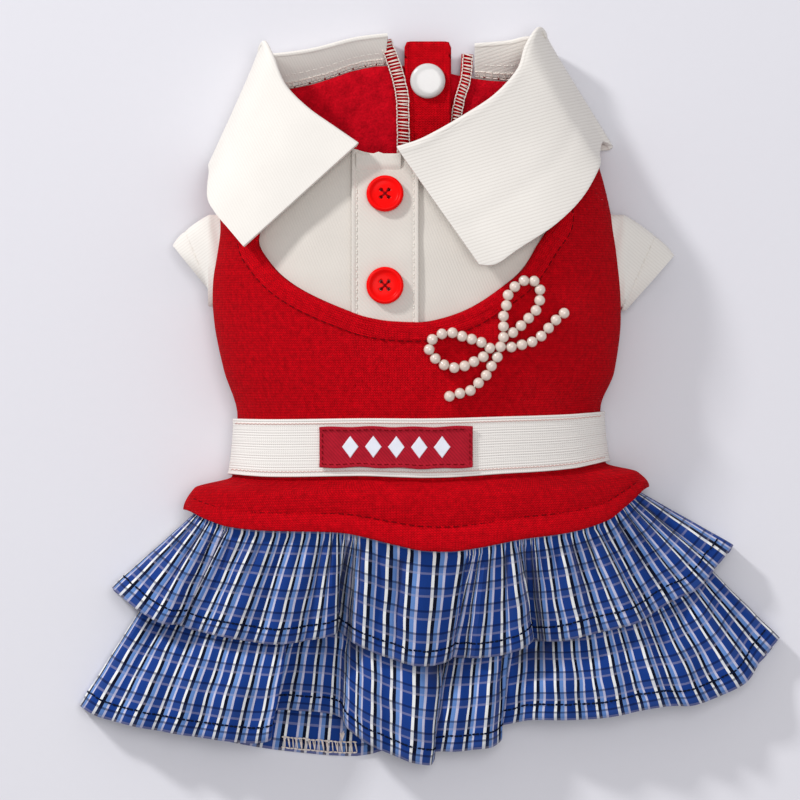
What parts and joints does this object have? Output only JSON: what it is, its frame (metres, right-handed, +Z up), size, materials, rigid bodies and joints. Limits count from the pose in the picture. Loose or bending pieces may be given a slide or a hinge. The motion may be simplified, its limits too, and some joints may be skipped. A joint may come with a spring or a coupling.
{
  "type": "small dog dress",
  "caption": "Short dog dress with knitted body, spread shirt collar, two-button front, elastic waist with label, bead bow and two-tier plaid skirt",
  "frame": {"origin": "middle of the bounding box on the surface that the dress lies on", "axes": "+Y towards the neck, -Y towards the skirt's hem, +X to the right in the picture, +Z up out of the decorated side"},
  "size_m": [0.2473, 0.2586, 0.0431],
  "materials": {
    "red_knit": "brushed red knit, fleecy inside",
    "white_twill": "off-white cotton twill",
    "blue_plaid": "yarn-dyed blue plaid cotton",
    "ribbed_elastic": "white ribbed woven elastic",
    "woven_label": "dark red woven label",
    "red_button": "glossy red resin",
    "white_snap": "glossy white resin",
    "ivory_pearl": "ivory pearl coating"
  },
  "bodies": {
    "root": {"bodice": "red_knit", "shirt_yoke": "white_twill", "yoke_placket": "white_twill", "button_upper": "red_button", "button_lower": "red_button", "collar_left": "white_twill", "collar_right": "white_twill", "sleeve_left": "white_twill", "sleeve_right": "white_twill", "waist_elastic": "ribbed_elastic", "waist_label": "woven_label", "belly_placket": "red_knit", "snap_cap": "white_snap", "snap_socket": "white_snap", "ruffle_upper": "blue_plaid", "ruffle_lower": "blue_plaid", "pearl_bow": "ivory_pearl"}
  },
  "joints": []
}
